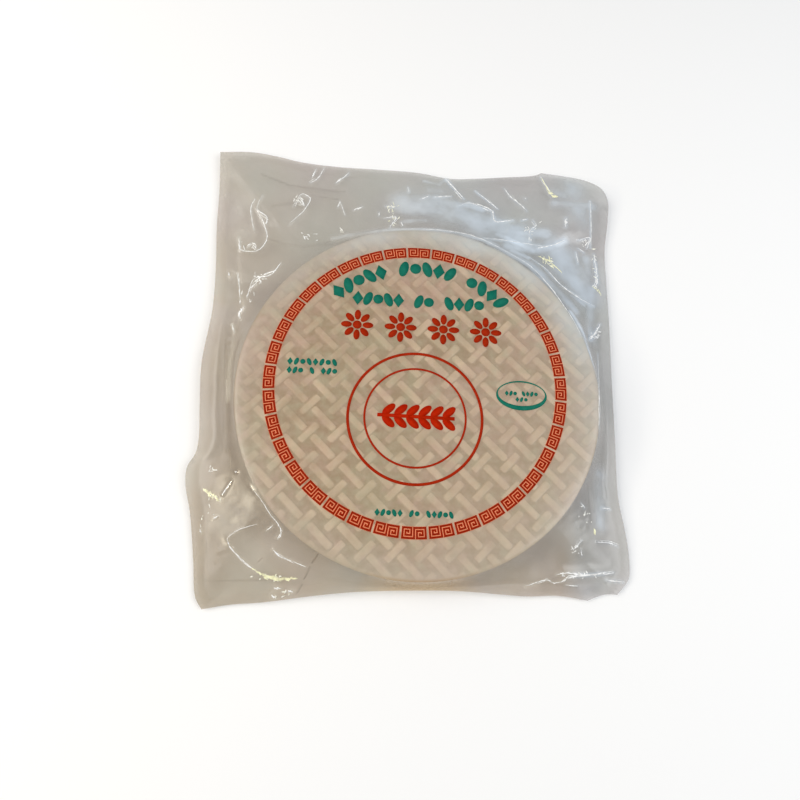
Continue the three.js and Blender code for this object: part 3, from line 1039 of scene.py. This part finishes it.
def clear_film(name, haze, warm, cool, smooth_gloss, crease_gloss):
    f = Finish(name)
    cloud = f.noise(22, 3, 0.55)
    normal = f.bump(f.plus(f.noise(140, 3, 0.5), cloud), 0.4, 0.0003)
    crease_highlight, dark = f.attribute("crease_highlight"), f.attribute("dark")
    # Painted sheen from the pale bands, broken up by a gentle noise; painted shade from the dark ones.
    pale = f.times(f.attribute("pale"), f.spread(f.noise(60, 2, 0.5), 0.34, 0.66, 0.68, 1.28))
    cover = f.times(f.attribute("haze"), f.spread(cloud, 0.3, 0.7, haze * 0.85, haze * 1.15))
    # The painted highlight along each crease also thickens the haze there.
    cover = f.plus(cover, f.times(crease_highlight, CREASE_HIGHLIGHT_COVER))
    painted_light = f.plus(f.times(pale, PAINTED_LIGHT_COVER), f.times(dark, PAINTED_LIGHT_COVER))
    cover = f.plus(cover, painted_light, clamp=True)
    veil = f.body(film_colour(f, crease_highlight, pale, dark, warm, cool), 0.5, 0.2, Normal=normal)
    clear = f.clear(f.blend(f.attribute("narrow"), (0.98, 0.98, 0.98), (0.90, 0.81, 0.68)))
    gloss = smooth_gloss
    if crease_gloss != smooth_gloss:
        gloss = f.spread(f.attribute("sharp"), 0.1, 0.7, smooth_gloss, crease_gloss)
    mirror = f.node("BsdfGlossy", {"Color": (1, 1, 1), "Roughness": gloss, "Normal": normal})
    facing = f.node("LayerWeight", {"Blend": 0.5, "Normal": normal}).outputs["Facing"]
    shine = f.spread(f.math("POWER", facing, 5), 0.0, 1.0, STRAIGHT_ON_SHINE, 1.0)
    return f.done(f.mix_shaders(shine, f.mix_shaders(cover, clear, veil), mirror.outputs[0]))


# The haze's colour under the painted warm and cool light tints.
WARM_HAZE = (0.56, 0.468, 0.346)
COOL_HAZE = (0.535, 0.535, 0.525)
upper_clear = clear_film("upper_clear_film", 0.16, WARM_HAZE, COOL_HAZE, 0.27, 0.06)
lower_clear = clear_film("lower_clear_film", 0.6, WARM_HAZE, COOL_HAZE, 0.3, 0.3)
finish_piece(film_above, upper_clear)
finish_piece(film_below, lower_clear)
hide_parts("sealed_bag")
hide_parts("sealed_bag")

# %% [markdown]
# ## Painted highlights on ridges
# Along the sharpest creases the film stands up in a fine ridge, painted near white as a painted
# highlight, and pale yellow where the warm lamp's highlight is painted. Each is a narrow strip,
# tapered to nothing at both ends, laid along its chain of places on the finished film with its
# middle line raised. A long ridge has a thinner companion that strays from it.

# %% Ridges on the film
RIDGE_RISE = 0.3
RIDGE_SHARE = 0.8
RIDGE_ABOVE = 0.04


def ridge(name, places, width, yellow, random):
    knots = np.array([(*place, 0) for place in places], dtype=float)
    path = smooth_run(knots, per_span=8) if len(knots) > 2 else np.linspace(knots[0], knots[-1], 9)
    middle = np.array([seen_on(film_above, *place[:2]) for place in path])
    heading = np.gradient(middle, axis=0)
    aside = np.stack([-heading[:, 1], heading[:, 0]], 1)
    aside /= np.maximum(np.linalg.norm(aside, axis=1), 1e-9)[:, None]
    share = np.linspace(0.03, 0.97, len(path))
    taper = np.sin(np.pi * share ** random.uniform(0.6, 1.6)) ** 0.8
    taper *= np.clip(random.normal(0.85, 0.3, len(path)), 0.2, 1.4)
    strip = add_grid(name, len(path) - 1, 2)
    points = read_points(strip)
    step = np.rint((points[:, 0] + 1) / 2 * (len(path) - 1)).astype(int)
    side = points[:, 1]
    placed = middle[step]
    wander = random.normal(0, 0.12 * width, len(path))
    away = side * taper[step] * width * RIDGE_SHARE / 2 + wander[step]
    placed[:, :2] += aside[step] * away[:, None]
    rise = RIDGE_RISE * taper[step] * (1 - np.abs(side)) * min(width, WIDEST_CREASE)
    placed[:, 2] += RIDGE_ABOVE + rise
    write_points(strip, placed)
    store(strip, "yellow", np.full(len(points), yellow))
    return strip


def ridge_and_companion(name, places, width, yellow, random):
    """A ridge, and beside it a thinner one that strays a little and stops short."""
    strips = [ridge(name, places, width, yellow, random)]
    if len(places) > 2 and width > 0.6:
        first = random.integers(0, len(places) - 1)
        stretch = places[first:first + 2 + random.integers(0, 2)]
        strayed = [(x + random.uniform(-2.2, 2.2), y + random.uniform(-2.2, 2.2)) for x, y in stretch]
        strips.append(ridge(name + "_companion", strayed, width * 0.55, yellow, random))
    return strips


def highlight_ridges():
    random = np.random.default_rng(51)
    strips = []
    for yellow, groups in ((0.0, HIGHLIGHT_CREASES), (1.0, YELLOW_HIGHLIGHT_CREASES)):
        for group, creases in groups.items():
            for number, (places, width) in enumerate(creases):
                strips += ridge_and_companion(f"{group}_{number}", places, width, yellow, random)
    return joined("highlight_ridges", strips)


def film_glints():
    """Tiny ridges in every direction over each crumpled place, painted as glints."""
    random = np.random.default_rng(52)
    strips = []
    for group, (middle, reach, count, yellow) in GLINTS.items():
        for number in range(count):
            place = np.array(middle) + np.clip(random.normal(0, 0.55, 2), -1.2, 1.2) * reach
            heading = random.uniform(0, math.pi)
            half = random.uniform(0.6, 2.6) * np.array([math.cos(heading), math.sin(heading)])
            width = random.uniform(0.5, 1.3)
            shade = yellow * random.uniform(0.4, 1.0)
            strips.append(ridge(f"{group}_{number}", [place - half, place + half], width, shade, random))
    return joined("film_glints", strips)


def highlight_ridge_finish():
    f = Finish("painted_highlight_film")
    broken = f.spread(f.noise(420, 2, 0.6), 0.3, 0.55, 0.4, 1.0)
    # Painted highlight: a near white body, pale yellow for the warm lamp, broken by clear gaps.
    colour = f.blend(f.attribute("yellow"), (0.97, 0.97, 0.96), (0.97, 0.95, 0.62))
    return f.done(f.mix_shaders(broken, f.clear(), f.body(colour, 0.18)))


painted_highlights = highlight_ridge_finish()
finish_piece(highlight_ridges(), painted_highlights)
finish_piece(film_glints(), painted_highlights)

# %% [markdown]
# ## The print
# The print lies on the flat part of the upper film, turned a little clockwise to the pouch. Every
# shape is laid down in the print's own plane and given a film's thickness, so a shape is flat
# mesh first and is made solid at the end. It is so close to the wrappers that it throws no
# shadow on them.

# %% Laying print on the film
PRINT_LIFT = 0.05
WASH_LIFT = 0.01
PRINT_THICKNESS = 0.03
INK_SPECULAR = 0.02


def lay_print(name, shapes, material, lift=PRINT_LIFT):
    """Joins flat shapes, lays them on the film over the stack and makes them solid."""
    print_piece = joined(name, shapes)
    apply_place(print_piece)
    points = read_points(print_piece)
    points[:, 2] = FILM_TOP + lift + film_sag(points[:, 0], points[:, 1])
    points[:, :2] += STACK_MIDDLE
    write_points(print_piece, points)
    in_edit_mode(print_piece, FACE_OUT)
    thickness = print_piece.modifiers.new("Thickness", "SOLIDIFY")
    thickness.thickness = PRINT_THICKNESS * MM
    thickness.offset = 0
    bpy.ops.object.modifier_apply(modifier=thickness.name)
    print_piece.visible_shadow = False
    finish_piece(print_piece, material)


def ink(name, colour, worn):
    """Flat ink that has worn paler in small patches."""
    f = Finish(name)
    patch = f.spread(f.noise(300, 3, 0.6), 0.25, 0.75, 0.0, 1.0)
    return f.done(f.body(f.blend(patch, colour, worn), 0.5, INK_SPECULAR))


red_ink = ink("red_ink", (0.41, 0.010, 0.0005), (0.49, 0.022, 0.002))
fret_ink = ink("fret_ink", (0.255, 0.010, 0.0008), (0.33, 0.021, 0.003))
dark_red_ink = ink("dark_red_ink", (0.33, 0.016, 0.002), (0.40, 0.027, 0.005))
teal_ink = ink("teal_ink", (0.004, 0.142, 0.096), (0.018, 0.180, 0.125))

# %% [markdown]
# ## The fret ring
# A fret ring is an old pattern. Each block is one line that winds into two square spirals, drawn
# here on a small grid of squares: the squares off the line are deleted, the borders between the
# rest are moved so that the strokes come out wider than the gaps, and the block is copied and
# bent round the ring.

# %% Fret ring
RING_MIDDLE = (-1.9, 4.4)
RING_OUTER = 91.5
RING_INNER = 84.7
RING_BLOCKS = 36
RING_START = math.radians(-1.5)
BLOCK_SHARE = 0.91
FRET_PATH = [(4, 3), (4, 2), (2, 2), (2, 5), (6, 5), (6, 0), (0, 0), (0, 7), (8, 7),
             (8, 0), (16, 0), (16, 7), (10, 7), (10, 2), (14, 2), (14, 5), (12, 5), (12, 4)]
FRET_ACROSS = 17
FRET_DOWN = 8
STROKE_SHARE = 1.34


def fret_squares():
    """The squares that the winding line passes over."""
    squares = set()
    for (from_x, from_y), (to_x, to_y) in zip(FRET_PATH, FRET_PATH[1:]):
        steps = max(abs(to_x - from_x), abs(to_y - from_y))
        for step in range(steps + 1):
            squares.add((from_x + (to_x - from_x) * step // steps,
                         from_y + (to_y - from_y) * step // steps))
    return squares


def with_wide_strokes(places, count, strokes):
    """Moves the borders of count equal squares to widen the ones that are strokes."""
    widths = np.where(np.isin(np.arange(count), strokes), STROKE_SHARE, 2 - STROKE_SHARE)
    borders = np.r_[0, np.cumsum(widths)]
    return np.interp((places + 1) / 2 * count, np.arange(count + 1), 2 * borders / borders[-1] - 1)


def fret_block():
    block = add_grid("fret_block", FRET_ACROSS, FRET_DOWN)
    wanted = fret_squares()
    in_edit_mode(block, UNSELECT, (bpy.ops.mesh.select_mode, {"type": "FACE"}))
    for face in block.data.polygons:
        across = int((face.center.x / MM + 1) / 2 * FRET_ACROSS)
        down = FRET_DOWN - 1 - int((face.center.y / MM + 1) / 2 * FRET_DOWN)
        face.select = (across, down) not in wanted
    bpy.ops.object.mode_set(mode="EDIT")
    bpy.ops.mesh.delete(type="FACE")
    bpy.ops.mesh.select_mode(type="VERT")
    bpy.ops.object.mode_set(mode="OBJECT")
    return block


def round_the_ring(block, flat, wider=1.0, over=0.0):
    """Copies of a flat block, with its points bent into every place on the ring."""
    pitch = 2 * math.pi / RING_BLOCKS
    copies = []
    for number in range(RING_BLOCKS):
        copy = block.copy()
        copy.data = block.data.copy()
        bpy.context.collection.objects.link(copy)
        angle = RING_START + number * pitch - flat[:, 0] * wider * BLOCK_SHARE * pitch / 2
        radius = RING_INNER - over + (flat[:, 1] + 1) / 2 * (RING_OUTER - RING_INNER + 2 * over)
        place_points(copy, RING_MIDDLE[0] + radius * np.cos(angle),
                     RING_MIDDLE[1] + radius * np.sin(angle))
        copies.append(copy)
    bpy.data.objects.remove(block)
    return copies


def fret_ring():
    block = fret_block()
    flat = read_points(block)
    flat[:, 0] = with_wide_strokes(flat[:, 0], FRET_ACROSS, range(0, FRET_ACROSS, 2))
    flat[:, 1] = -with_wide_strokes(-flat[:, 1], FRET_DOWN, (0, 2, 5, 7))
    return round_the_ring(block, flat)


lay_print("fret_ring", fret_ring(), fret_ink)

# %% [markdown]
# ## The wash under the fret ring
# The gaps in each block look pinkish, because the ink bleeds a little. A thin, half clear wash
# lies under every block: one patch for a block, bent round the ring in the same way.

# %% Wash under the blocks
WASH_WIDER = 1.03
WASH_OVER = 0.2
WASH_COVER = 0.68


def wash_finish():
    f = Finish("red_wash")
    body = f.body((0.84, 0.27, 0.13), 0.5, INK_SPECULAR)
    return f.done(f.mix_shaders(WASH_COVER, f.clear(), body))


patch = add_grid("wash", 6, 1)
patches = round_the_ring(patch, read_points(patch), WASH_WIDER, WASH_OVER)
lay_print("fret_wash", patches, wash_finish(), WASH_LIFT)

# %% [markdown]
# ## Plain shapes for the rest of the print
# The other marks are rings, an oval and small plain ornaments: lozenges, grains and dots. A flat
# disc of a few points is the start of each, and it is stretched, turned and moved into place. A
# ring is a long grid whose one side is wrapped round the outer oval and the other round the
# inner one.

# %% Shape makers
PRINT_LEAN = -2.6


def flat_shape(middle, width, height, turn_degrees=0.0, points=20):
    """A filled oval, a lozenge when it has four points, or a bar when it has none."""
    if points:
        bpy.ops.mesh.primitive_circle_add(vertices=points, radius=0.5 * MM, fill_type="NGON")
    else:
        bpy.ops.mesh.primitive_plane_add(size=1 * MM)
    shape = added("shape")
    shape.scale = (width, height, 1)
    shape.rotation_euler[2] = math.radians(turn_degrees)
    shape.location = (middle[0] * MM, middle[1] * MM, 0)
    apply_place(shape)
    return shape


def flat_ring(middle, outer, inner, inner_shift=0.0, points=120, turn_degrees=0.0):
    """An oval ring; an inner oval that is shifted up makes the lower side thicker."""
    ring = add_grid("ring", points, 1)
    flat = read_points(ring)
    angle = (flat[:, 0] + 1) * math.pi
    outside = flat[:, 1] > 0
    x = np.where(outside, outer[0], inner[0]) * np.cos(angle)
    y = np.where(outside, outer[1] * np.sin(angle), inner_shift + inner[1] * np.sin(angle))
    place_points(ring, *turned(x, y, turn_degrees, middle))
    in_edit_mode(ring, MERGE)
    return ring


# %% [markdown]
# ## Red marks
# Two plain rings frame a sprig in the middle of the print, and a row of four rosettes stands
# above them. The sprig is a stem with a leaf on either side at each step, and a rosette is a dot
# with petals round it. The sprig's ink is brighter than the rings'.

# %% Rings, sprig and rosettes
CIRCLES_MIDDLE = (-3.0, -16.8)
ROSETTE_RADIUS = 10.0
PETALS = 8
LEAF_PAIRS = 6
LEAF_ASIDE = 3.7
LEAF_FORWARD = 1.6
LEAF_LEAN = 42


def rosette(middle, radius):
    shapes = [flat_shape(middle, radius * 0.56, radius * 0.56, points=16)]
    for petal in range(PETALS):
        heading = petal * 360 / PETALS + PRINT_LEAN
        place = turned(radius * 0.66, 0, heading, middle)
        shapes.append(flat_shape(place, radius * 0.68, radius * 0.4, heading, 14))
    return shapes


def sprig(middle, length):
    shapes = [flat_shape(middle, length, 2.2, PRINT_LEAN, points=0)]
    for number in range(LEAF_PAIRS):
        along = (number - 2.5) * length / 6.4
        for side in (1, -1):
            place = turned(along + LEAF_FORWARD, side * LEAF_ASIDE, PRINT_LEAN, middle)
            shapes.append(flat_shape(place, 9.7, 4.7, PRINT_LEAN + side * LEAF_LEAN, 18))
    return shapes


dark_shapes = [flat_ring(CIRCLES_MIDDLE, (40.75, 40.75), (39.05, 39.05), points=180),
               flat_ring(CIRCLES_MIDDLE, (30.7, 30.7), (29.45, 29.45), points=150)]
for place in ((-38.4, 41.6), (-11.6, 40.6), (15.0, 39.6), (41.4, 38.4)):
    dark_shapes += rosette(place, ROSETTE_RADIUS)
lay_print("dark_red_marks", dark_shapes, dark_red_ink)
lay_print("red_sprig", sprig((-2.5, -16.5), 46), red_ink)

# %% [markdown]
# ## Teal marks
# Rows of small ornaments follow an arc inside the fret ring and straight lines below it, in
# groups of unequal length. An oval with a thick lower rim holds two tiny rows.

# %% Teal rows and oval
# Each kind of ornament: width and height as shares of its size, how far it leans and its points.
ORNAMENTS = ((0.78, 1.1, 0, 4), (0.6, 1.1, -22, 16), (0.72, 0.72, 0, 18), (0.6, 1.1, 22, 16))
OVAL_MIDDLE = (61.6, -2.4)
# Each straight row: its start, its end, its groups and the size of its ornaments.
TEAL_ROWS = (
    ((-41.5, 59.8), (41.2, 56.3), (5, 2, 4), 8.8),
    ((-80.0, 17.0), (-49.6, 16.4), (8,), 4.4),
    ((-80.0, 11.4), (-49.6, 10.8), (3, 1, 3), 4.2),
    ((-26.6, -72.2), (18.6, -73.8), (5, 2, 5), 3.9),
    ((51.4, -0.9), (71.8, -1.5), (3, 4), 3.1),
    ((57.6, -4.8), (65.4, -5.0), (3,), 3.0),
)


def shares_in_groups(groups):
    """Evenly spaced shares of a row, with one left out between two groups."""
    filled = sum(([True] * group + [False] for group in groups), [])[:-1]
    return [(number + 0.5) / len(filled) for number, full in enumerate(filled) if full]


def ornament(kind, middle, size, turn_degrees):
    """One small mark: a lozenge, a grain that leans either way or a dot."""
    width, height, lean, points = ORNAMENTS[kind % len(ORNAMENTS)]
    return flat_shape(middle, size * width, size * height, turn_degrees + lean, points)


def ornament_row(start, end, groups, size):
    run, rise = end[0] - start[0], end[1] - start[1]
    turn_degrees = math.degrees(math.atan2(rise, run))
    return [ornament(kind, (start[0] + run * share, start[1] + rise * share), size, turn_degrees)
            for kind, share in enumerate(shares_in_groups(groups))]


def ornament_arc(radius, start, end, groups, size):
    headings = [start + (end - start) * share for share in shares_in_groups(groups)]
    return [ornament(kind, turned(radius, 0, heading, RING_MIDDLE), size, heading - 90)
            for kind, heading in enumerate(headings)]


teal_shapes = ornament_arc(76.6, 132.0, 42.5, (5, 5, 4), 10.0)
for row in TEAL_ROWS:
    teal_shapes += ornament_row(*row)
teal_shapes.append(flat_ring(OVAL_MIDDLE, (15.5, 9.3), (14.4, 7.4), 0.95, 90, PRINT_LEAN))
lay_print("teal_marks", teal_shapes, teal_ink)
